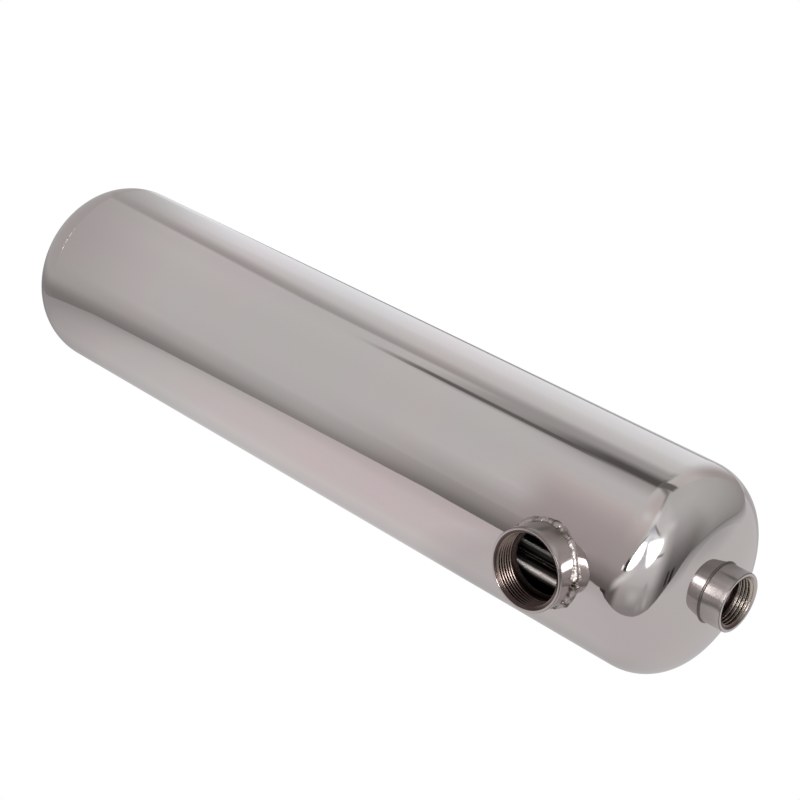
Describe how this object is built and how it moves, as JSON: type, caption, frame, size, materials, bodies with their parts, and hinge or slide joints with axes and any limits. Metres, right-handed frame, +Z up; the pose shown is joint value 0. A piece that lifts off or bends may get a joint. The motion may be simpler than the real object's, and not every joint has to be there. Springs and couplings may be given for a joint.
{
  "type": "shell and tube heat exchanger",
  "caption": "Polished steel shell and tube heat exchanger on its side, with threaded side ports, a threaded port in each head and a straight tube bundle inside.",
  "frame": {"origin": "on the plane that the shell rests on, under the middle of the shell", "axes": "+X along the shell's axis towards the front head, -Y out of the front side port, +Z up"},
  "size_m": [0.6366, 0.1696, 0.14],
  "materials": {
    "polished_steel": "mirror polished stainless steel",
    "socket_steel": "turned and polished stainless steel",
    "weld_steel": "rippled weld bead",
    "tube_steel": "smooth drawn tube",
    "inner_steel": "plain plate"
  },
  "bodies": {
    "root": {"shell_barrel": "polished_steel", "front_head": "polished_steel", "rear_head": "polished_steel", "front_side_socket": "socket_steel", "front_side_weld": "weld_steel", "rear_side_socket": "socket_steel", "rear_side_weld": "weld_steel", "front_end_socket": "socket_steel", "front_end_weld": "weld_steel", "rear_end_socket": "socket_steel", "rear_end_weld": "weld_steel", "front_tube_sheet": "inner_steel", "rear_tube_sheet": "inner_steel", "baffle_1": "inner_steel", "baffle_2": "inner_steel", "baffle_3": "inner_steel", "baffle_4": "inner_steel", "tube_row_1": "tube_steel", "tube_row_2": "tube_steel", "tube_row_3": "tube_steel", "tube_row_4": "tube_steel", "tube_row_5": "tube_steel", "tube_row_6": "tube_steel", "tube_row_7": "tube_steel", "tube_row_8": "tube_steel", "tube_row_9": "tube_steel"}
  },
  "joints": []
}
